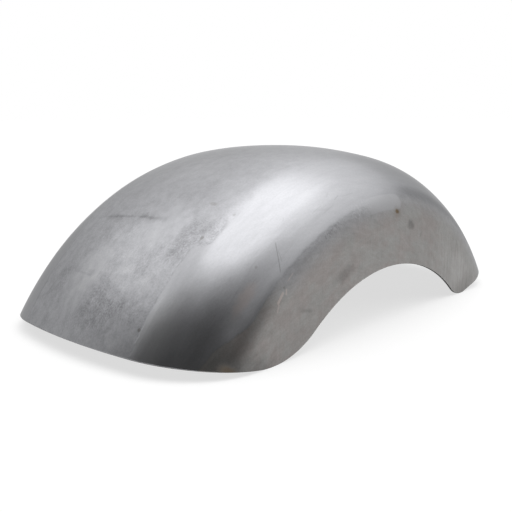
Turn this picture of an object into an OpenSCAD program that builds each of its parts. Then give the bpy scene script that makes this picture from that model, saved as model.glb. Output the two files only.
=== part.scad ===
// Wide rear fender blank for a motorcycle: one formed steel sheet, open underneath and at both ends.
// Every length is in millimetres and Z is up. X runs along the wheel, with the rear end at minus X,
// and Y runs across it. The origin lies under the middle of the fender, on the surface that its four
// lower corners stand on.

/* [Around the wheel] */
// Radius of the crown's outer face about the wheel axle
crown_r = 340; // [310:1:400]
// Radius about the wheel axle that the lower edges of the two sides follow
arch_r = 217.5; // [195:0.5:235]
// Height of the four lower corners above the wheel axle
corner_height = 157; // [130:1:175]

/* [Section across the wheel] */
// Width over the two flat sides
overall_w = 322; // [290:1:380]
// Radius of the crown across the wheel
crown_cross_r = 525; // [400:5:900]
// Radius of the shoulder beside the crown
shoulder_r = 103; // [70:1:115]
// Radius of the bend between the shoulder and the flat side
side_bend_r = 67; // [40:1:90]
// Angle, from straight out at the crown, at which the shoulder passes into the bend
shoulder_end_deg = 45.6; // [35:0.1:60]
// Thickness of the sheet
sheet_t = 2; // [1.2:0.1:3]

/* [Ends] */
// Angle at which the rear edge falls from the crown to the corner
rear_edge_deg = 9.1; // [0:0.1:20]
// Angle at which the front edge falls from the crown to the corner
front_edge_deg = 13.6; // [0:0.1:20]
// Radius of the two rear lower corners
rear_corner_r = 104; // [30:1:125]
// Radius of the two front lower corners
front_corner_r = 41; // [15:1:90]

/* [Hidden] */

// Largest turn between two neighbouring points of an arc, in degrees
arc_step = 3;
// How far the cutting outline reaches past the metal
clear = 40;

half_w = overall_w / 2;

// Angle where the crown passes into the shoulder, such that the section ends at half the width
crown_end_deg = asin((half_w - shoulder_r * sin(shoulder_end_deg) - side_bend_r * (1 - sin(shoulder_end_deg)))
                     / (crown_cross_r - shoulder_r));

// Centres of the section's arcs, as [distance from the axle, distance from the middle]
crown_centre = [crown_r - crown_cross_r, 0];
shoulder_centre = crown_centre + (crown_cross_r - shoulder_r) * [cos(crown_end_deg), sin(crown_end_deg)];
bend_centre = shoulder_centre + (shoulder_r - side_bend_r) * [cos(shoulder_end_deg), sin(shoulder_end_deg)];

// Points along an arc from angle a to angle b, both ends included
function arc(centre, r, a, b) =
    let (n = ceil(abs(b - a) / arc_step))
    [for (i = [0:n]) centre + r * [cos(a + (b - a) * i / n), sin(a + (b - a) * i / n)]];

function reversed(points) = [for (i = [len(points) - 1:-1:0]) points[i]];
function without_first(points) = [for (i = [1:len(points) - 1]) points[i]];
function mirrored(points) = [for (p = points) [p[0], -p[1]]];

// One face of the sheet, from the middle of the crown down to below the arch; inset is 0 for the outer face
function half_face(inset) = concat(
    arc(crown_centre, crown_cross_r - inset, 0, crown_end_deg),
    without_first(arc(shoulder_centre, shoulder_r - inset, crown_end_deg, shoulder_end_deg)),
    without_first(arc(bend_centre, side_bend_r - inset, shoulder_end_deg, 90)),
    [[arch_r - clear, half_w - inset]]);

function whole_face(inset) = concat(
    reversed(mirrored(half_face(inset))),
    without_first(half_face(inset)));

// The sheet's section, to be turned about the axle
module section() {
    polygon(concat(whole_face(0), reversed(whole_face(sheet_t))));
}

// Centre of a lower corner's rounding, as [x, z] from the axle: it touches the arch and the surface
// that the corners stand on. End is -1 at the rear and 1 at the front.
function corner_centre(end, r) = [end * sqrt(pow(arch_r + r, 2) - pow(corner_height + r, 2)), corner_height + r];

// Unit vector along an end's edge, from its corner out to the crown
function edge_out(end, slope) = [end * cos(slope), sin(slope)];

// Point where a corner's rounding passes into the end's edge
function edge_start(end, r, slope) = corner_centre(end, r) + r * [end * sin(slope), -cos(slope)];

// Distance from edge_start at which the edge leaves the crown's outer face
function edge_length(start, out) = -start * out + sqrt(pow(start * out, 2) - start * start + crown_r * crown_r);

function crown_tip(end, r, slope) =
    let (start = edge_start(end, r, slope), out = edge_out(end, slope))
    start + edge_length(start, out) * out;

rear_tip = crown_tip(-1, rear_corner_r, rear_edge_deg);
front_tip = crown_tip(1, front_corner_r, front_edge_deg);

// Angle from plus X of the line from the axle to a corner's centre
function corner_angle(end, r) = atan2(corner_centre(end, r)[1], corner_centre(end, r)[0]);

// One end of the side view, from the arch round the corner and along the edge to past the crown
function end_outline(end, r, slope) = concat(
    without_first(arc(corner_centre(end, r), r, corner_angle(end, r) - 180, -90)),
    without_first(arc(corner_centre(end, r), r, -90, -90 + end * slope)),
    [crown_tip(end, r, slope) + clear * edge_out(end, slope)]);

// The fender seen from its side: all that lies between the arch and the two ends' edges
module side_view() {
    polygon(concat(
        arc([0, 0], arch_r, corner_angle(1, front_corner_r), corner_angle(-1, rear_corner_r)),
        end_outline(-1, rear_corner_r, rear_edge_deg),
        [[rear_tip[0] - clear, crown_r + clear], [front_tip[0] + clear, crown_r + clear]],
        reversed(end_outline(1, front_corner_r, front_edge_deg))));
}

// The formed sheet, with the axle's middle at the origin until it is set down on its corners
module fender_shell() {
    color([0.62, 0.61, 0.6])
        translate([-(rear_tip[0] + front_tip[0]) / 2, 0, -corner_height])
            rotate([90, 0, 0])
                intersection() {
                    rotate_extrude(angle = 180) section();
                    linear_extrude(height = overall_w + 2 * clear, center = true) side_view();
                }
}

fender_shell();
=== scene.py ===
"""Looks of a wide motorcycle rear fender in bare steel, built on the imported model.

Lengths are in metres. X runs along the wheel with the rear end at minus X, Y runs across it and Z is up.
A place on the sheet is a wheel angle, counted from straight up and positive towards the front, and a
distance across, counted from the crown's middle line along the section. The sheet's own map stores both.
"""

import math

import bpy
import numpy as np
from mathutils import Matrix, Vector


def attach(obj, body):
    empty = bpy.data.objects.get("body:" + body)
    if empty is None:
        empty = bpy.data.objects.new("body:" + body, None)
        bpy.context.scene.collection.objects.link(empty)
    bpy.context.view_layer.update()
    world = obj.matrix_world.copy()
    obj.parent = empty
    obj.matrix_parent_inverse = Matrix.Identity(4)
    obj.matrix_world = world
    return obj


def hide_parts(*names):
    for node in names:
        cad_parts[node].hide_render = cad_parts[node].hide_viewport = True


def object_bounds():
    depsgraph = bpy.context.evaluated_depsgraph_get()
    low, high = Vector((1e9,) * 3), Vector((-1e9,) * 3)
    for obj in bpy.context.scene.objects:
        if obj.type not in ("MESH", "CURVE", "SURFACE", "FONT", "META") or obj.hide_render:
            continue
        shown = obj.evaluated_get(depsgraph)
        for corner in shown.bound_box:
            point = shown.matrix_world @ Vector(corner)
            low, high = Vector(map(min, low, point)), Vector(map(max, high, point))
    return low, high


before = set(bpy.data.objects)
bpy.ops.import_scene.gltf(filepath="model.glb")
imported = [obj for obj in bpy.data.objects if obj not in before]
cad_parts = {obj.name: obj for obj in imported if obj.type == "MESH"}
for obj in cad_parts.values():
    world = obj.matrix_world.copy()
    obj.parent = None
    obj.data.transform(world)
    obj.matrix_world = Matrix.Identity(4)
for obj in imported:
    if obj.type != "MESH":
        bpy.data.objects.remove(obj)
cad_low, cad_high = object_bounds()
MM = 0.001

# Driving sizes of the shell
WIDTH = cad_high.y - cad_low.y
CROWN_R = 340 * MM
ARCH_R = 217.5 * MM
CORNER_HEIGHT = 157 * MM
CROWN_CROSS_R = 525 * MM
SHOULDER_R = 103 * MM
SIDE_BEND_R = 67 * MM
SHOULDER_END = math.radians(45.6)
SHEET_T = 2 * MM
REAR = {"end": -1, "corner_r": 104 * MM, "slope": math.radians(9.1)}
FRONT = {"end": 1, "corner_r": 41 * MM, "slope": math.radians(13.6)}
EDGE_ROUND = 0.3 * MM
DENT_DEPTH = 0.1 * MM

# Steps of the shell's grid, along the wheel and across half the section, and round a rounded edge
STEPS_ALONG = 224
STEPS_ACROSS = 88
STEPS_ROUND = 4
# Distance from the edge of one more line of the grid, which keeps the last faces from shading round
EDGE_HOLD = 0.35 * MM
# Radius at which the sheet's map counts the length along the wheel
MAP_R = 0.3
# Points on the section, on each line or arch of the side view, and on each of its corners
SECTION_POINTS = 4000
LINE_POINTS = 400
CORNER_POINTS = 200

# Centres of the section's arcs, as distances from the axle and from the middle plane
half_width = WIDTH / 2
crown_end = math.asin((half_width - SHOULDER_R * math.sin(SHOULDER_END)
                       - SIDE_BEND_R * (1 - math.sin(SHOULDER_END))) / (CROWN_CROSS_R - SHOULDER_R))


def turned(angle):
    """Unit vector at an angle from straight out, as (outwards, across)."""
    return np.array([math.cos(angle), math.sin(angle)])


crown_centre = np.array([CROWN_R - CROWN_CROSS_R, 0.0])
shoulder_centre = crown_centre + (CROWN_CROSS_R - SHOULDER_R) * turned(crown_end)
bend_centre = shoulder_centre + (SHOULDER_R - SIDE_BEND_R) * turned(SHOULDER_END)
crown_length = CROWN_CROSS_R * crown_end
shoulder_length = crown_length + SHOULDER_R * (SHOULDER_END - crown_end)
bend_length = shoulder_length + SIDE_BEND_R * (math.pi / 2 - SHOULDER_END)


def section(across, depth):
    """The sheet's section: crown arc, shoulder arc, bend and straight side, one after the other.

    across is the length along the outer face from the crown's middle, and depth the distance below that
    face. Returns the distance from the axle, the distance from the middle plane, and the outward normal.
    """
    along_arc = np.abs(across)
    side = np.sign(across)
    on_crown = along_arc < crown_length
    on_shoulder = along_arc < shoulder_length
    angle = np.where(on_crown, along_arc / CROWN_CROSS_R, np.where(
        on_shoulder, crown_end + (along_arc - crown_length) / SHOULDER_R,
        np.minimum(SHOULDER_END + (along_arc - shoulder_length) / SIDE_BEND_R, math.pi / 2)))
    radius = np.where(on_crown, CROWN_CROSS_R, np.where(on_shoulder, SHOULDER_R, SIDE_BEND_R)) - depth
    centre = [np.where(on_crown, crown_centre[i], np.where(on_shoulder, shoulder_centre[i], bend_centre[i]))
              for i in (0, 1)]
    out = centre[0] + radius * np.cos(angle) - np.maximum(along_arc - bend_length, 0)
    sideways = centre[1] + radius * np.sin(angle)
    return out, side * sideways, np.cos(angle), side * np.sin(angle)


def across_at(radius):
    """Distance across at which the outer face lies at a radius from the axle, by interpolation."""
    samples = np.linspace(0, bend_length + CROWN_R - ARCH_R, SECTION_POINTS)
    return np.interp(-radius, -section(samples, 0.0)[0], samples)


def corner_centre(which):
    """Centre of a lower corner, as (x, z) from the axle: it touches the arch and the level corners."""
    height = CORNER_HEIGHT + which["corner_r"]
    reach = math.sqrt((ARCH_R + which["corner_r"]) ** 2 - height ** 2)
    return np.array([which["end"] * reach, height])


def edge_lines(which, inset):
    """An end's edge, from the crown to the corner's lowest point, and the rest of the corner to the arch.

    The edge is a straight line that the corner's arc touches; inset moves all of it into the sheet.
    Returns two lists of (x, z) points from the axle.
    """
    end, slope = which["end"], which["slope"]
    centre, radius = corner_centre(which), which["corner_r"] - inset
    out = np.array([end * math.cos(slope), math.sin(slope)])
    start = centre + radius * np.array([end * math.sin(slope), -math.cos(slope)])
    reach = -start @ out + math.sqrt((start @ out) ** 2 - start @ start + CROWN_R ** 2)
    line = start + np.linspace(reach, 0, LINE_POINTS)[:, None] * out
    to_axle = math.atan2(centre[1], centre[0]) - math.pi
    low = -math.pi / 2

    def arc(first, last):
        angle = np.linspace(first, last, CORNER_POINTS)[:, None]
        return centre + radius * np.hstack([np.cos(angle), np.sin(angle)])

    return np.vstack([line, arc(low + end * slope, low)[1:]]), arc(low, to_axle)


def tip_of(which):
    """The x of the crown's tip at an end, from the axle."""
    return edge_lines(which, 0.0)[0][0][0]


AXLE_X = -(tip_of(REAR) + tip_of(FRONT)) / 2


def on_sheet(points):
    """Wheel angle and distance across of (x, z) points of the side view."""
    return np.stack([np.arctan2(points[:, 0], points[:, 1]), across_at(np.hypot(*points.T))], -1)


def spaced(places, shares):
    """The same curve on the sheet, at given shares of its length."""
    metric = places * np.array([MAP_R, 1.0])
    length = np.r_[0, np.cumsum(np.hypot(*np.diff(metric, axis=0).T))]
    return np.stack([np.interp(shares * length[-1], length, places[:, i]) for i in (0, 1)], -1)


def half_grid(inset):
    """Places on one half of the sheet, as a Coons patch between four curves.

    The patch is the sum of the two ruled surfaces between opposite curves, less the bilinear one between
    their corners. The curves are the crown's middle line, the two ends' edges down to the corners'
    lowest points, and the lower edge, which follows a corner, the arch and the other corner.
    """
    rear_edge, rear_corner = edge_lines(REAR, inset)
    front_edge, front_corner = edge_lines(FRONT, inset)
    arch_angles = np.linspace(math.atan2(*rear_corner[-1]), math.atan2(*front_corner[-1]), LINE_POINTS)
    arch = (ARCH_R + inset) * np.stack([np.sin(arch_angles), np.cos(arch_angles)], -1)
    hold_along, hold_across = EDGE_HOLD / (2 * CROWN_R), EDGE_HOLD / half_width
    along = np.r_[0, hold_along, np.linspace(0, 1, STEPS_ALONG + 1)[1:-1], 1 - hold_along, 1]
    outwards = np.r_[np.linspace(0, 1, STEPS_ACROSS + 1)[:-1], 1 - hold_across, 1]
    lower = spaced(on_sheet(np.vstack([rear_corner, arch[1:-1], front_corner[::-1]])), along)
    rear, front = (spaced(on_sheet(edge), outwards) for edge in (rear_edge, front_edge))
    u, v = along[:, None, None], outwards[None, :, None]
    upper = (1 - u) * rear[0] + u * front[0]
    corners = (1 - v) * upper + v * ((1 - u) * rear[-1] + u * front[-1])
    return (1 - v) * upper + v * lower[:, None] + (1 - u) * rear + u * front - corners


def dents(angle, across):
    """Depth of the hand-formed unevenness: three long sine waves, the two later ones weaker, plus a shift.

    The shift is the sum of the waves' heights, so the sheet never rises above its size.
    """
    along = angle * MAP_R
    waves = (np.sin(along * 34 + 1.1) * np.sin(across * 41 + 0.4)
             + 0.7 * np.sin(along * 61 - across * 23 + 2.0)
             + 0.5 * np.sin(along * 27 + across * 78 + 0.7))
    return DENT_DEPTH * (waves + 2.2)


def placed(angle, across, depth):
    """Points of the sheet at a depth, turned about the axle and set down on its corners."""
    out, sideways, _, _ = section(across, depth)
    return np.stack([AXLE_X + out * np.sin(angle), sideways, out * np.cos(angle) - CORNER_HEIGHT], -1)


def normals_of(angle, across):
    """Outward unit normals of the sheet, with the unevenness left out."""
    _, _, outwards, sideways = section(across, 0.0)
    return np.stack([outwards * np.sin(angle), sideways, outwards * np.cos(angle)], -1)


def grid_quads(columns, rows, first):
    """Quads of a grid of points stored column by column, counted from a first index."""
    corner = first + np.arange((columns - 1) * rows).reshape(-1, rows)[:, :-1]
    return np.stack([corner, corner + 1, corner + rows + 1, corner + rows], -1).reshape(-1, 4)


def boundary(columns, rows):
    """Indices round the grid's border, in order and without the first repeated."""
    index = np.arange(columns * rows).reshape(columns, rows)
    return np.concatenate([index[:-1, 0], index[-1, :-1], index[:0:-1, -1], index[0, :0:-1]])


def fender_mesh():
    """The whole sheet: an outer grid, an inner grid one thickness below it, and a rounded edge between.

    The edge is a strip swept along the border. Its profile is a quarter circle out of the outer face, a
    straight cut and a quarter circle into the inner face. Returns the points, the quads, the points' places
    on the map, and how many quads the outer and the inner face have.
    """
    half = half_grid(EDGE_ROUND)
    mirror = np.array([1.0, -1.0])
    places = np.concatenate([half[:, :0:-1] * mirror, half], axis=1)
    columns, rows = places.shape[:2]
    angle, across = places[..., 0].ravel(), places[..., 1].ravel()
    low = dents(angle, across)
    outer = placed(angle, across, low)
    inner = placed(angle, across, low + SHEET_T)

    ring = boundary(columns, rows)
    normal = normals_of(angle[ring], across[ring])
    tangent = np.roll(outer[ring], -1, 0) - np.roll(outer[ring], 1, 0)
    sideways = np.cross(tangent, normal)
    sideways /= np.linalg.norm(sideways, axis=1, keepdims=True)
    quarter = np.linspace(0, math.pi / 2, STEPS_ROUND + 1)[1:]
    drop = EDGE_ROUND * (1 - np.cos(quarter))
    reach = EDGE_ROUND * np.sin(quarter)
    drops = np.r_[drop, SHEET_T - drop[::-1]]
    reaches = np.r_[reach, reach[::-1]]
    rim = (outer[ring][None] + reaches[:, None, None] * sideways[None]
           - drops[:, None, None] * normal[None]).reshape(-1, 3)

    grid_size = len(outer)
    rim_index = 2 * grid_size + np.arange(len(rim)).reshape(-1, len(ring))
    strips = np.concatenate([ring[None], rim_index, ring[None] + grid_size])
    along = np.roll(strips, -1, 1)
    rim_quads = np.stack([strips[:-1], along[:-1], along[1:], strips[1:]], -1).reshape(-1, 4)
    outer_quads = grid_quads(columns, rows, 0)[:, ::-1]
    inner_quads = grid_quads(columns, rows, grid_size)
    map_u = np.r_[angle, angle, np.tile(angle[ring], len(drops))] * MAP_R
    map_v = np.r_[across, across, np.tile(across[ring], len(drops))]
    return (np.vstack([outer, inner, rim]), np.vstack([outer_quads, inner_quads, rim_quads]),
            np.stack([map_u, map_v], -1), len(outer_quads), len(inner_quads))


# Order of the fender's materials
OUTER, INNER, CUT = 0, 1, 2


def make_fender():
    """The sheet as one closed mesh with its map, its outer, inner and edge faces in their own materials."""
    points, quads, places, outer_count, inner_count = fender_mesh()
    mesh = bpy.data.meshes.new("fender_sheet")
    mesh.vertices.add(len(points))
    mesh.vertices.foreach_set("co", points.astype(np.float32).ravel())
    mesh.loops.add(quads.size)
    mesh.loops.foreach_set("vertex_index", quads.astype(np.int32).ravel())
    mesh.polygons.add(len(quads))
    mesh.polygons.foreach_set("loop_start", np.arange(0, quads.size, 4, dtype=np.int32))
    mesh.update(calc_edges=True)
    mesh.validate()
    mesh.polygons.foreach_set("use_smooth", np.ones(len(quads), bool))
    material = np.full(len(quads), CUT, np.int32)
    material[:outer_count] = OUTER
    material[outer_count:outer_count + inner_count] = INNER
    mesh.polygons.foreach_set("material_index", material)
    sheet_map = mesh.uv_layers.new(name="sheet")
    sheet_map.data.foreach_set("uv", places[quads.ravel()].astype(np.float32).ravel())
    piece = bpy.data.objects.new("fender_sheet", mesh)
    bpy.context.scene.collection.objects.link(piece)
    return piece


def at(angle):
    """Distance along the sheet's map, in millimetres, at a wheel angle in degrees."""
    return math.radians(angle) * MAP_R / MM


class Value:
    """A node's output. Arithmetic on it adds Math nodes."""

    def __init__(self, nodes, socket):
        self.nodes = nodes
        self.socket = socket

    def math(self, operation, *others):
        """This value and others through one Math node."""
        return self.nodes.add("ShaderNodeMath", {"operation": operation}, [self, *others])

    def __add__(self, other):
        return self.math("ADD", other)

    __radd__ = __add__

    def __mul__(self, other):
        return self.math("MULTIPLY", other)

    __rmul__ = __mul__

    def __sub__(self, other):
        return self.math("SUBTRACT", other)

    def __rsub__(self, other):
        return self.nodes.add("ShaderNodeMath", {"operation": "SUBTRACT"}, [other, self])

    def clamped(self):
        """This value held between 0 and 1."""
        return self.nodes.add("ShaderNodeMath", {"operation": "ADD", "use_clamp": True}, [self, 0.0])


class Nodes:
    """The node tree of a material or a world."""

    def __init__(self, owner):
        owner.use_nodes = True
        self.tree = owner.node_tree

    def fill(self, node, inputs):
        """Gives a node's sockets, by name or in order, their values or links."""
        pairs = inputs.items() if isinstance(inputs, dict) else enumerate(inputs)
        for key, value in pairs:
            if isinstance(value, Value):
                self.tree.links.new(value.socket, node.inputs[key])
            else:
                node.inputs[key].default_value = value

    def add(self, kind, settings=None, inputs=(), output=0):
        """Adds a node, makes its settings, fills its sockets and returns one of its outputs."""
        node = self.tree.nodes.new(kind)
        for name, value in (settings or {}).items():
            setattr(node, name, value)
        self.fill(node, inputs)
        return Value(self, node.outputs[output])

    def rise(self, value, low, high):
        """Smooth step from 0 at low to 1 at high."""
        smooth = {"interpolation_type": "SMOOTHSTEP"}
        return self.add("ShaderNodeMapRange", smooth, [value, low, high, 0.0, 1.0])

    def mix(self, first, second, share):
        """Colour first, going over to second by share."""
        return self.add("ShaderNodeMix", {"data_type": "RGBA"}, {0: share, 6: first, 7: second}, 2)


class Finish(Nodes):
    """A steel finish on the sheet's own map, in millimetres along the wheel and across it."""

    def __init__(self, name):
        self.material = bpy.data.materials.new(name)
        super().__init__(self.material)
        places = self.add("ShaderNodeUVMap", {"uv_map": "sheet"})
        self.sheet = self.add("ShaderNodeVectorMath", {"operation": "SCALE"}, {0: places, "Scale": 1 / MM})
        self.along = self.add("ShaderNodeSeparateXYZ", {}, [self.sheet], "X")
        self.across = self.add("ShaderNodeSeparateXYZ", {}, [self.sheet], "Y")

    def noise(self, long, wide=None, detail=3.0, rough=0.55, turn=0.0, shift=0.0):
        """Cloudy noise about 0.5, its features long by wide millimetres, turned by an angle in degrees."""
        wide = wide or long
        place = self.add("ShaderNodeMapping", {"vector_type": "TEXTURE"}, {
            "Vector": self.sheet, "Location": (0.0, 0.0, -shift), "Rotation": (0.0, 0.0, math.radians(turn)),
            "Scale": (long, wide, min(long, wide))})
        return self.grain(place, detail, rough)

    def upright(self, wide, high):
        """Noise drawn out upright on the object's own coordinates, wide by high metres."""
        place = self.add("ShaderNodeTexCoord", {}, {}, "Object")
        size = {"Vector": place, "Scale": (wide, wide, high)}
        return self.grain(self.add("ShaderNodeMapping", {"vector_type": "TEXTURE"}, size), 3.0, 0.6)

    def grain(self, place, detail, rough):
        """Noise about 0.5 at a place, with features of one unit."""
        settings = {"Vector": place, "Scale": 1.0, "Detail": detail, "Roughness": rough}
        return self.add("ShaderNodeTexNoise", {}, settings)

    def darkened(self, colour, by):
        """A colour made darker by a share that varies over the sheet."""
        return self.mix(colour, BLACK, by)

    def finished(self, colour, roughness, height, metallic=1.0):
        """Links the finish to the shader; height is in millimetres."""
        bump = self.add("ShaderNodeBump", {}, {"Height": height, "Distance": MM, "Strength": 1.0})
        self.fill(self.tree.nodes["Principled BSDF"], {
            "Base Color": colour, "Roughness": roughness, "Metallic": metallic, "Normal": bump,
            "Specular Tint": LOW_ANGLE_TINT})
        return self.material


# Iron mirrors less at low angles than most metals
LOW_ANGLE_TINT = (0.71, 0.71, 0.71, 1.0)

BLACK = (0.0, 0.0, 0.0, 1.0)
WHITE = (1.0, 1.0, 1.0, 1.0)
CROWN_STEEL = (0.263, 0.265, 0.276, 1.0)
SHOULDER_STEEL = (0.250, 0.252, 0.262, 1.0)
SIDE_STEEL = (0.253, 0.250, 0.243, 1.0)
WARM_STEEL = (0.255, 0.236, 0.228, 1.0)
GROUND_STEEL = (0.298, 0.299, 0.308, 1.0)
BRUISED_STEEL = (0.40, 0.35, 0.33, 1.0)
RUST = (0.105, 0.066, 0.026, 1.0)
FAINT_RUST = (0.27, 0.215, 0.19, 1.0)
STAIN = (0.085, 0.08, 0.07, 1.0)
INNER_STEEL = (0.24, 0.236, 0.235, 1.0)
SCALE = (0.15, 0.145, 0.145, 1.0)
# Colour of the sheet's edge: dark oxide, made darker still as painted shade
CUT_OXIDE_AND_SHADE = (0.03, 0.028, 0.027, 1.0)
RUBBED_STEEL = (0.075, 0.072, 0.07, 1.0)

# Grainy places of the crown: wheel angle, distance across, half their length and width, depth. They are
# dull where the depth is above zero and bare where it is below.
CROWN_CLOUDS = (
    (-53.2, -21, 20, 26, 0.17), (-52.4, -62, 9, 26, 0.09), (-49.4, -8, 11, 12, 0.10),
    (-43.8, -47, 24, 11, 0.08), (-41.5, -29, 8, 8, 0.07), (-45.5, -13, 14, 6, 0.06),
    (-43.5, 32, 28, 18, 0.06), (-50.5, 55, 17, 11, 0.10), (-38.4, -73, 25, 11, 0.14),
    (-35.6, -92, 14, 10, 0.13), (-56.0, 92, 30, 14, 0.06), (-36.8, -36, 26, 24, -0.13),
    (-49.0, 18, 30, 22, -0.12))

# Painted shade along the crease across the crown, in the same order
CREASE_SHADE_SPOTS = ((-35.5, -15, 4.4, 16, 0.14), (-35.4, 0.5, 2.6, 3.6, 0.1), (-36.4, 44, 4, 10, 0.1))

# Smudges of the side, dull or (below zero) bare, in the same order
SIDE_SMUDGES = (
    (-57, -196, 34, 34, 0.36), (8.5, -199, 8, 4.6, 0.28), (-19.8, -221.5, 18, 6.5, 0.2),
    (33, -196, 16, 12, 0.08), (39, -216, 24, 18, -0.13), (48, -226, 22, 22, 0.15))

# Small dark stains: wheel angle, distance across, half the length, half the width, strength
STAINS = (
    (-54.5, -82, 1.6, 1.6, 0.6), (-37.2, -87, 2.2, 1.7, 0.5), (-29.8, -67, 2.2, 4.2, 0.32),
    (-30.8, -97, 1.5, 1.5, 0.25), (-37.4, -147, 1.4, 1.2, 0.3), (14, -208, 1.8, 3, 0.25),
    (-36.9, -178.6, 1.5, 1.3, 0.3))

# Straight scratches on the shoulder: their two ends, half their width and their strength
SCRATCHES = (
    ((-35.5, -168.5), (-31.1, -144.5), 0.75, 1.0), ((-33.6, -163), (-32.2, -152), 0.5, 0.6),
    ((-21.5, -150.5), (-18.2, -149), 0.5, 0.35), ((-19.5, -157), (-15.5, -155), 0.5, 0.35),
    ((-14.8, -151.5), (-12.9, -149), 0.7, 0.45), ((-12.5, -152), (-9, -153.5), 0.5, 0.35),
    ((-16, -146), (-14.6, -141), 0.5, 0.35), ((-27.2, -138), (-26.2, -135), 0.6, 0.3))

# Bright nicks on the side, in the same order
NICKS = (
    ((-41.6, -186.8), (-39.9, -183.4), 1.0, 0.4), ((-40.4, -182.4), (-37.4, -180), 1.6, 0.75),
    ((-37.7, -184.5), (-36.6, -180.4), 1.2, 0.6), ((-35.6, -177.4), (-33.2, -176.4), 0.8, 0.35))


class OuterSteel(Finish):
    """The outer face: a dull mottled crown, a polished shoulder and a brushed, slightly tarnished side."""

    def __init__(self):
        super().__init__("outer_steel")
        self.off_middle = self.across.math("ABSOLUTE")
        self.sway = self.noise(9, detail=4, rough=0.7, shift=83) - 0.5
        self.stray = self.noise(9, detail=4, rough=0.7, shift=97) - 0.5
        self.clouds = self.noise(30, detail=4, rough=0.6)
        self.mottle = self.noise(9, detail=5, rough=0.68, shift=11)
        self.speckle = self.noise(1.9, rough=0.75, shift=23)
        self.drawn = self.noise(32, 7, 4, 0.6, shift=31)
        self.hatched = self.noise(22, 3.2, 4, 0.65, turn=-24, shift=37)
        self.flecks = self.rise(self.noise(2.6, rough=0.7, shift=53), 0.5, 0.6)
        self.hairline = self.rise(self.noise(43, 1.3, 2, 0.5, shift=41), 0.64, 0.72)
        self.brushed = self.upright(0.0017, 0.045)
        self.make_zones()

    def make_zones(self):
        """Shares of the crown, the shoulder and the side, with the wandering borders between them.

        The side's border climbs at the rear corner and softens towards the front. The crown's border steps
        outwards and then fades away.
        """
        wander = (self.noise(14, detail=2) - 0.5) * 5 + (self.noise(2.4, rough=0.7, shift=3) - 0.5) * 2.2
        climb = self.rise(self.along, at(-45), at(-57)) * 24 + self.rise(self.along, at(-4), at(10)) * 8
        self.past_side = self.off_middle + wander * 0.5 + self.stray * 5 + climb - 171
        softer = self.rise(self.along, at(-25), at(-12)) * 2 + self.rise(self.along, at(5), at(16)) * 4
        self.side = self.border(self.past_side, softer + 1.1)
        step = self.rise(self.along + self.sway * 16, at(-39.9), at(-37.3)) * 15
        self.past_crown = self.off_middle + wander + self.stray * 4 - step - 84
        self.crown = 1 - self.border(self.past_crown, self.rise(self.along, at(-37), at(-16)) * 20 + 1.3)
        self.shoulder = (1 - self.side) * (1 - self.crown)
        self.rear = 1 - self.rise(self.along, at(-40), at(-26))
        self.front = self.rise(self.along, at(18), at(34))

    def border(self, past, soft):
        """0 before a border and 1 past it, over a softness that varies."""
        return self.rise(past, soft * -1, soft)

    def between(self, value, low, high, soft):
        """1 between low and high, with soft borders."""
        return self.rise(value, low - soft, low + soft) * (1 - self.rise(value, high - soft, high + soft))

    def spot(self, angle, across, half_along, half_across, soft=0.35, ragged=0.0):
        """1 inside an ellipse about a place, 0 outside it; ragged is how far its border strays."""
        x = (self.along + self.sway * ragged - at(angle)) * (1 / half_along)
        y = (self.across + self.stray * ragged - across) * (1 / half_across)
        return 1 - self.rise((x * x + y * y).math("SQRT"), 1 - soft, 1 + soft)

    def spots(self, places, soft, ragged):
        """The sum of many spots, each times its own depth."""
        return sum(self.spot(*place[:4], soft, ragged) * place[4] for place in places)

    def beside(self, start, end):
        """Distances beside and along the straight line between two places, and the line's length."""
        (x0, y0), (x1, y1) = (at(start[0]), start[1]), (at(end[0]), end[1])
        length = math.hypot(x1 - x0, y1 - y0)
        dx, dy = (x1 - x0) / length, (y1 - y0) / length
        x, y = self.along - x0, self.across - y0
        return (y * dx - x * dy).math("ABSOLUTE"), x * dx + y * dy, length

    def stroke(self, start, end, half_width, soft=0.6):
        """1 on a straight stroke that thins out towards both its ends."""
        beside, ahead, length = self.beside(start, end)
        thin = 1 - self.rise(beside, half_width * (1 - soft), half_width)
        return thin * self.between(ahead, length * 0.08, length * 0.92, length * 0.08)

    def strokes(self, lines, soft=0.6):
        """The sum of many strokes, each times its own strength."""
        return sum(self.stroke(*line[:3], soft) * line[3] for line in lines)

    def capsule(self, start, end, radius, soft):
        """1 within a radius of the straight line between two places, round at both ends."""
        beside, ahead, length = self.beside(start, end)
        past = ((ahead - length / 2).math("ABSOLUTE") - length / 2).math("MAXIMUM", 0.0)
        return 1 - self.rise((beside * beside + past * past).math("SQRT"), radius - soft, radius + soft)

    def crown_depth(self):
        """How much darker the crown is: grain, grainy clouds, painted shade and painted highlight, painted
        shade along a crease, and a short line.
        """
        mottle, speckle = self.mottle - 0.5, self.speckle - 0.5
        depth = mottle * (self.rear * 0.32 + 0.3) + (self.clouds - 0.5) * (self.rear * 0.06 + 0.08)
        depth = depth + speckle * (self.rear * 0.22 + 0.36) + (self.drawn - 0.5) * 0.14
        depth = depth + self.spots(CROWN_CLOUDS, 0.5, 26) * (speckle * 3 + mottle + 1)
        # Painted shade: a broad darker patch over the crown's middle. Painted highlight: a lighter patch at
        # the rear.
        depth = depth + self.spot(-23, 0, 85, 80, 0.6) * 0.24 - self.spot(-45, -10, 40, 50, 0.4, 40) * 0.1
        # Painted shade along the crease across the crown, grainy with the mottle
        crease = self.stroke((-35.4, -30), (-36.5, 72), 2.4, 0.9) * (self.mottle * 0.26)
        crease = crease + self.spots(CREASE_SHADE_SPOTS, 0.8, 14)
        line = self.stroke((-48.6, 8), (-48.3, 44), 1.8, 0.9) * 0.12
        line = line + self.spot(-48.1, 13, 3, 5, 0.7, 8) * 0.13
        return (depth + crease + line) * self.crown

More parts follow.
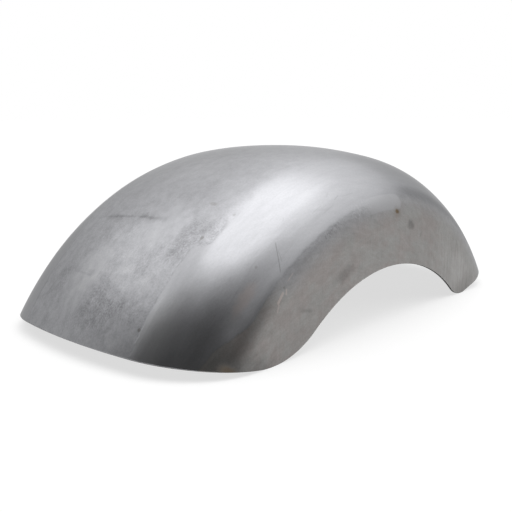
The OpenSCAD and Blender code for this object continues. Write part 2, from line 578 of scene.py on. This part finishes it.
    def side_depth(self):
        """How much darker the side is: grain, slanting and upright strokes, smudges, a band at its border."""
        depth = (self.mottle - 0.5) * 0.3 + (self.drawn - 0.5) * 0.2 + (self.speckle - 0.5) * 0.4
        depth = depth + (self.hatched - 0.5) * (0.3 - self.front * 0.1)
        depth = depth + (self.brushed - 0.5) * (self.front * 0.5 + 0.16) - self.front * 0.1
        depth = depth + self.spots(SIDE_SMUDGES, 0.5, 14)
        depth = depth + self.stroke((-37.1, -208.6), (-33.9, -222.5), 3, 0.95) * 0.2
        band = self.rise(self.past_side, 17, 0) * self.between(self.along, at(-36), at(-8), 12)
        depth = depth + band * (self.mottle * 0.2 + self.hatched * 0.1)
        rough = self.spot(-19.5, -175, 24, 4, 0.6, 10) + self.spot(-8, -179, 9, 6, 0.6, 10)
        depth = depth + rough * self.flecks * 0.22 - self.spot(-43, -174, 46, 8, 0.5) * 0.1
        return depth * self.side

    def shoulder_depth(self):
        """How much darker the shoulder is: faint strokes, dark painted shade at the rear, a lighter strip of
        painted highlight and a spot of painted shade over the highlight.
        """
        depth = (self.drawn - 0.5) * 0.2 + (self.speckle - 0.5) * 0.24 + (self.hatched - 0.5) * 0.14
        # Painted shade: two dark patches at the rear of the shoulder, between the highlight and the side
        painted_shade_wedge = self.spot(-47.5, -141, 44, 13, 0.7) * 0.32 + self.spot(-40.5, -157, 22, 10, 0.8) * 0.17
        # Painted highlight: a lighter strip at the rear of the shoulder
        strip = self.spot(-55, -98, 32, 15, 0.7) * 0.3
        # Painted shade: a faint darker spot that dims the shoulder's highlight
        painted_shade_on_highlight = self.spot(-34, -118, 44, 22, 0.6, 10) * 0.07
        return (depth + self.hairline * 0.02 + painted_shade_wedge - strip + painted_shade_on_highlight) * self.shoulder

    def border_lines(self):
        """Thin lines on the crown's border at the rear and on the side's as far as the ground patch."""
        crown_line = (1 - self.rise(self.past_crown.math("ABSOLUTE"), 0.2, 1.7)) * self.rear
        side_line = 1 - self.rise(self.past_side.math("ABSOLUTE"), 0.2, 1.9)
        ragged = self.flecks * 0.5 + 0.5
        return crown_line * ragged, side_line * ragged * (1 - self.rise(self.along, at(-12), at(-4)))

    def ground_patch(self):
        """The ground patch beside the shoulder, and the arcs that the grinding wheel left on it.

        The arcs are a sine of the distance from a point below the patch.
        """
        x, y = self.along - at(-14), self.across + 215
        arcs = ((x * x + y * y).math("SQRT") * 4.4 + self.mottle * 5).math("SINE")
        start = self.rise(self.along + (self.mottle - 0.5) * 30, at(-10), at(-3))
        return self.capsule((-7.5, -173), (3.4, -173.5), 8.4, 1.0) * start, arcs

    def rust(self):
        """A rust spot beside the ground patch, with its halo, and rust at the rear corner."""
        spots = self.spot(2.7, -184.6, 3.4, 2.0, 0.6, 3) * 0.8 + self.spot(2.7, -185.5, 7, 5, 0.8, 6) * 0.3
        return (spots + self.spot(-55.2, -172, 5, 9, 0.6, 8) * 0.65).clamped()

    def bell(self, angle, off_middle, slant, width):
        """A bell curve across a slanting line along both shoulders: e to the minus square of the distance."""
        away = (self.off_middle - off_middle + (self.along - at(angle)) * slant) * (1 / width)
        return (away * away * -1).math("EXPONENT")

    def swellings(self):
        """Forming marks in millimetres: a ridge and two grooves along the shoulder, and long low waves."""
        bulge = self.bell(-47, 121, 0.3, 22) * (1 - self.rise(self.along, at(-42), at(-30)))
        ripple = self.bell(-43, 157, 0.12, 9) * self.between(self.along, at(-50), at(-36), 18)
        groove = self.bell(-20, 144.5, 0.0, 7.5) * self.between(self.along, at(-29), at(-7), 14)
        waves = self.noise(42, detail=2, rough=0.4, shift=61) * 0.3
        waves = waves + self.noise(150, 10, 2, 0.5, shift=67) * self.shoulder * 0.14
        return bulge * 0.9 - ripple * 0.35 - groove * 0.28 + waves

    def made(self):
        """Colours each zone, lays the marks over it and links the finish."""
        warm = self.rise(self.drawn * 0.4 + self.clouds * 0.6, 0.38, 0.62) * (0.95 - self.front * 0.6)
        low_down = (self.rise(self.past_side, -2, 28) + self.rise(self.along, at(-34), at(-44))).clamped()
        side = self.mix(SHOULDER_STEEL, self.mix(SIDE_STEEL, WARM_STEEL, warm), low_down)
        colour = self.mix(SHOULDER_STEEL, CROWN_STEEL, self.crown)
        colour = self.mix(colour, side, self.side)
        crown_line, side_line = self.border_lines()
        shaded = self.between(self.past_side, -9, 5, 5) * self.rise(self.along, at(2), at(10))
        depth = self.crown_depth() + self.side_depth() + self.shoulder_depth()
        depth = depth + self.hairline * self.mottle * 0.05 + shaded * 0.25
        depth = depth + crown_line * 0.16 + side_line * 0.1
        colour = self.darkened(colour, depth.clamped())
        colour = self.mix(colour, WHITE, (depth * -0.34).clamped())

        scratch = self.strokes(SCRATCHES).clamped()
        patch, arcs = self.ground_patch()
        burr = self.spot(-9.6, -173.5, 21, 8, 0.6, 16) * self.flecks * self.rise(self.along, at(-1), at(-7))
        nick = self.strokes(NICKS).clamped()
        rust = self.rust()
        colour = self.darkened(colour, scratch * 0.25)
        colour = self.mix(colour, GROUND_STEEL, patch * (arcs * 0.07 + self.speckle * 0.5 + 0.55))
        colour = self.mix(colour, GROUND_STEEL, burr * 0.6)
        colour = self.mix(colour, BRUISED_STEEL, nick)
        colour = self.mix(colour, STAIN, self.spots(STAINS, 0.5, 2).clamped())
        colour = self.mix(colour, FAINT_RUST, self.spot(-43.5, -154, 17, 5, 0.6, 10) * 0.28)
        colour = self.mix(colour, RUST, rust * 0.9)

        dull = self.mottle - 0.5
        roughness = self.crown * 0.05 - self.side * 0.005 + 0.32 + dull * 0.1 * (1 - self.shoulder * 0.8)
        roughness = roughness + patch * 0.08 + rust * 0.3 + scratch * 0.1
        height = self.mottle * 0.014 * (1 - self.shoulder) + self.speckle * 0.005 * (1 - self.shoulder * 0.7)
        height = height + self.swellings() + (self.brushed - 0.5) * self.side * 0.004 - self.hairline * 0.001
        height = height + self.hatched * self.side * 0.01 - crown_line * 0.03 - side_line * 0.015
        height = height + patch * (arcs * 0.005 + self.speckle * 0.02 + 0.03) + burr * 0.04
        height = height + nick * 0.02 - scratch * 0.022
        return self.finished(colour, roughness.clamped(), height, 1 - (rust * 0.6).clamped())


def inner_steel():
    """The inner face: dull steel from the press, with darker scale, faint draw marks and rust spots."""
    steel = Finish("inner_steel")
    scale = steel.rise(steel.noise(34, detail=5, rough=0.65), 0.38, 0.66)
    fine = steel.noise(4, detail=4, rough=0.7, shift=5)
    drawn = steel.noise(50, 5, 3, 0.6, shift=9)
    spots = steel.rise(steel.noise(7, detail=3, rough=0.6, shift=15), 0.7, 0.76)
    colour = steel.mix(INNER_STEEL, SCALE, scale * 0.7 + (fine - 0.5) * 0.5)
    colour = steel.mix(colour, RUST, spots * 0.5)
    colour = steel.darkened(colour, (drawn - 0.5).clamped() * 0.6)
    return steel.finished(colour, scale * 0.12 + fine * 0.1 + 0.38, fine * 0.03 + drawn * 0.02)


def cut_steel():
    """The sheet's edge: sawn, dark with oxide and darkened further as painted shade, and rubbed a little
    brighter in places.
    """
    steel = Finish("cut_steel")
    marks = steel.noise(1.2, detail=3, rough=0.7)
    rubbed = steel.rise(steel.noise(18, detail=3, rough=0.6, shift=7), 0.5, 0.7)
    colour = steel.mix(CUT_OXIDE_AND_SHADE, RUBBED_STEEL, rubbed * 0.6 + marks * 0.3)
    return steel.finished(colour, marks * 0.2 + 0.6, marks * 0.03, rubbed * 0.3 + 0.4)


# Place and lens of the camera, from the axle's middle
CAMERA_FROM_AXLE = Vector((-0.62224, -0.54110, 0.37149))
CAMERA_TURN = math.radians(47.3414)
CAMERA_DOWN = math.radians(11.2853)
CAMERA_ROLL = math.radians(0.182)
CAMERA_LENS = 48.774


def make_camera():
    """The camera at the photograph's viewing angle, looking down on the rear left corner."""
    camera = bpy.data.objects.new("camera", bpy.data.cameras.new("camera"))
    camera.data.lens = CAMERA_LENS
    camera.data.sensor_width = 36
    camera.data.clip_start, camera.data.clip_end = 0.02, 60
    across, ahead = math.cos(CAMERA_TURN), math.sin(CAMERA_TURN)
    right = Vector((across, -ahead, 0))
    forward = Vector((ahead, across, -math.tan(CAMERA_DOWN))).normalized()
    up = right.cross(forward)
    level, tilt = math.cos(CAMERA_ROLL), math.sin(CAMERA_ROLL)
    axes = Matrix([right * level - up * tilt, right * tilt + up * level, -forward]).transposed()
    place = CAMERA_FROM_AXLE + Vector((AXLE_X, 0, -CORNER_HEIGHT))
    camera.matrix_world = Matrix.Translation(place) @ axes.to_4x4()
    bpy.context.scene.collection.objects.link(camera)
    bpy.context.scene.camera = camera


# Softboxes overhead, which differ in height so that neither hides the other
BOX_TURN = math.radians(-74)
SOFTBOX = {"place": (0.135, -0.14, 2.0), "size": (1.8, 2.04), "level": 1.72}
DIFFUSER = {"place": (0.94, -0.15, 2.06), "size": (6.8, 4.66), "level": 1.12}


def make_softbox(name, place, size, level):
    """A large softbox overhead, facing straight down, as bright as a white wall times its level."""
    light = bpy.data.lights.new(name, "AREA")
    light.shape = "RECTANGLE"
    light.size, light.size_y = size
    light.energy = level * math.pi * size[0] * size[1]
    softbox = bpy.data.objects.new(name, light)
    softbox.location = place
    softbox.rotation_euler.z = BOX_TURN
    softbox.visible_camera = False
    bpy.context.scene.collection.objects.link(softbox)


def seen_or_mirrored(nodes):
    """1 for what is seen, straight, mirrored or through glass, and 0 for what only lights the part."""
    seen, mirrored, through = (nodes.add("ShaderNodeLightPath", {}, {}, ray) for ray in (
        "Is Camera Ray", "Is Glossy Ray", "Is Transmission Ray"))
    return seen.math("MAXIMUM", mirrored).math("MAXIMUM", through)


# Share of the studio's white that lights the part
FILL = 0.12


def make_world():
    """A white studio all round, which gives the softboxes a little fill."""
    world = bpy.data.worlds.new("studio")
    nodes = Nodes(world)
    world.cycles.sampling_method = "NONE"
    strength = seen_or_mirrored(nodes) * (1 - FILL) + FILL
    nodes.fill(nodes.tree.nodes["Background"], {"Color": WHITE, "Strength": strength})
    bpy.context.scene.world = world


# The dark wall's paint and its own faint light
WALL_PAINT = (0.06, 0.06, 0.06, 1.0)
WALL_GLOW = 0.06

# The dark wall's radius, its middle and half its width as angles from plus Y, and its height
WALL_R = 4.3
WALL_MIDDLE = math.radians(-124.8)
WALL_HALF = math.radians(71.1)
WALL_TOP = 9.9
WALL_STEPS = 48


def stage_piece(name, points, faces):
    """A mesh of the stage with a material of its own. Returns the object and its material's nodes."""
    mesh = bpy.data.meshes.new(name)
    mesh.from_pydata(points, [], faces)
    piece = bpy.data.objects.new(name, mesh)
    bpy.context.scene.collection.objects.link(piece)
    material = bpy.data.materials.new(name)
    mesh.materials.append(material)
    return piece, Nodes(material)


def make_wall():
    """The studio's dark wall behind the camera, which the steel mirrors: an upright cylinder's stretch."""
    angle = np.linspace(WALL_MIDDLE - WALL_HALF, WALL_MIDDLE + WALL_HALF, WALL_STEPS + 1)[:, None]
    height = np.array([0.0, WALL_TOP])
    ring = np.ones(2) * angle
    points = np.stack([WALL_R * np.sin(ring), WALL_R * np.cos(ring), height + 0 * ring], -1).reshape(-1, 3)
    wall, nodes = stage_piece("dark_wall", points.tolist(), grid_quads(WALL_STEPS + 1, 2, 0).tolist())
    nodes.fill(nodes.tree.nodes["Principled BSDF"], {
        "Base Color": WALL_PAINT, "Roughness": 0.9, "Emission Color": WHITE, "Emission Strength": WALL_GLOW})
    wall.visible_camera = False
    wall.visible_diffuse = False
    wall.visible_shadow = False
    wall.visible_transmission = False


# The floor's paint, its reach, the distances between which its shadow fades out, the share of its own
# white under the part, and that white's strength
FLOOR_PAINT = (0.9, 0.9, 0.9, 1.0)
FLOOR_R = 40.0
SHADOW_NEAR, SHADOW_FAR = 0.9, 2.2
OWN_WHITE = 0.66
WHITE_STRENGTH = 1.03


def make_floor():
    """A plain white floor that keeps the shadow.

    A share of its white is its own near the part, where the shadow falls, and all of it further off.
    """
    corners = [(x * FLOOR_R, y * FLOOR_R, 0) for x, y in ((-1, -1), (1, -1), (1, 1), (-1, 1))]
    floor, nodes = stage_piece("floor", corners, [(0, 1, 2, 3)])
    paint = nodes.tree.nodes["Principled BSDF"]
    nodes.fill(paint, {"Base Color": FLOOR_PAINT, "Roughness": 1.0, "Specular IOR Level": 0.0})
    place = nodes.add("ShaderNodeTexCoord", {}, {}, "Object")
    away = nodes.add("ShaderNodeVectorMath", {"operation": "LENGTH"}, [place], "Value")
    share = nodes.rise(away, SHADOW_NEAR, SHADOW_FAR) * (1 - OWN_WHITE) + OWN_WHITE
    white = nodes.add("ShaderNodeEmission", {}, [WHITE, WHITE_STRENGTH])
    mixed = nodes.add("ShaderNodeMixShader", {}, [
        share * seen_or_mirrored(nodes), Value(nodes, paint.outputs["BSDF"]), white])
    nodes.fill(nodes.tree.nodes["Material Output"], {"Surface": mixed})


make_camera()
make_world()
make_softbox("softbox", **SOFTBOX)
make_softbox("diffuser", **DIFFUSER)
make_wall()
make_floor()

fender = make_fender()
for finish in (OuterSteel().made(), inner_steel(), cut_steel()):
    fender.data.materials.append(finish)
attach(fender, "root")
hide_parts("fender_shell")

bpy.context.scene.view_settings.view_transform = "Standard"
